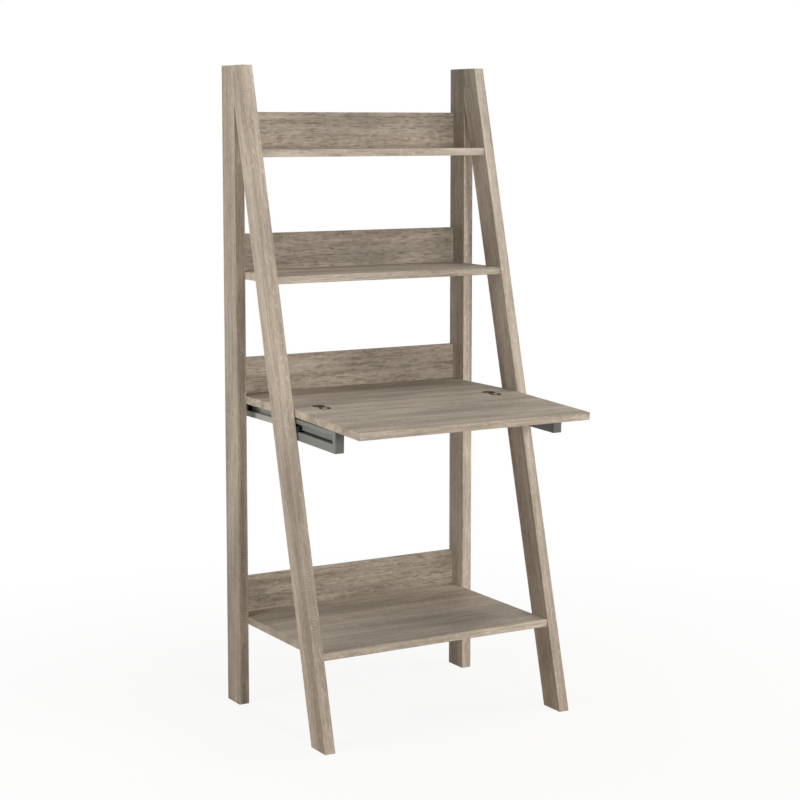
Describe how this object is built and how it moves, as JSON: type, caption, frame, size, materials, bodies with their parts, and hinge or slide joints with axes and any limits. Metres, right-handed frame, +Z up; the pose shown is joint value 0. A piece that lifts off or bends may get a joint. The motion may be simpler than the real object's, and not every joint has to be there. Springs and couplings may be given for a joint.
{
  "type": "ladder desk",
  "caption": "Ladder desk: leaning side frames carry open shelves with low back boards and a hinged writing flap that opens onto pull-out support arms.",
  "frame": {"origin": "on the floor, under the middle of the whole object with the flap open", "axes": "+Z up, -Y the front, where the flap opens, +X to the right as seen from the front"},
  "size_m": [0.668, 0.6216, 1.549],
  "materials": {
    "grey_oak": "grey-taupe sawn oak laminate, satin",
    "grey_arm": "grey paint, satin",
    "grey_steel": "grey powder coat",
    "black_nylon": "moulded, matt",
    "hinge_metal": "antique bronze plate",
    "zinc_steel": "zinc plate",
    "taupe_plastic": "cover caps in the tone of the boards, matt",
    "dowel_wood": "plain beech"
  },
  "bodies": {
    "frame": {"rear_leg_left": "grey_oak", "front_leg_left": "grey_oak", "rear_leg_right": "grey_oak", "front_leg_right": "grey_oak", "top_shelf": "grey_oak", "top_back_board": "grey_oak", "upper_shelf": "grey_oak", "upper_back_board": "grey_oak", "desk_shelf": "grey_oak", "desk_back_board": "grey_oak", "bottom_shelf": "grey_oak", "bottom_back_board": "grey_oak", "arm_runner_left": "grey_steel", "guide_block_left": "black_nylon", "runner_end_stop_left": "black_nylon", "hinge_shelf_plate_left": "hinge_metal", "hinge_pin_left": "hinge_metal", "arm_runner_right": "grey_steel", "guide_block_right": "black_nylon", "runner_end_stop_right": "black_nylon", "hinge_shelf_plate_right": "hinge_metal", "hinge_pin_right": "hinge_metal", "hinge_shelf_screws": "hinge_metal", "guide_block_screws": "zinc_steel", "runner_screws": "zinc_steel", "shelf_cam_discs": "zinc_steel", "shelf_cam_bolts": "zinc_steel", "board_cam_discs": "zinc_steel", "board_cam_bolts": "zinc_steel", "leg_bolts": "zinc_steel", "leg_barrel_nuts": "zinc_steel", "leg_nut_caps": "taupe_plastic", "shelf_dowels": "dowel_wood", "board_dowels": "dowel_wood", "leg_dowels": "dowel_wood"},
    "flap": {"desk_flap": "grey_oak", "hinge_flap_plate_left": "hinge_metal", "hinge_flap_plate_right": "hinge_metal", "hinge_flap_screws": "hinge_metal"},
    "arm_left": {"support_arm_left": "grey_arm", "glide_shoe_left": "black_nylon", "shoe_screws_left": "zinc_steel"},
    "arm_right": {"support_arm_right": "grey_arm", "glide_shoe_right": "black_nylon", "shoe_screws_right": "zinc_steel"}
  },
  "joints": [
    {"name": "flap_fold", "type": "hinge", "parent": "frame", "child": "flap", "pos_m": [0, -0.00203, 0.7599], "axis": [-1, 0, 0], "range_deg": [0, 107]},
    {"name": "arm_left_slide", "type": "slide", "parent": "frame", "child": "arm_left", "axis": [0, 1, 0], "range_m": [0, 0.159]},
    {"name": "arm_right_slide", "type": "slide", "parent": "frame", "child": "arm_right", "axis": [0, 1, 0], "range_m": [0, 0.159]}
  ]
}
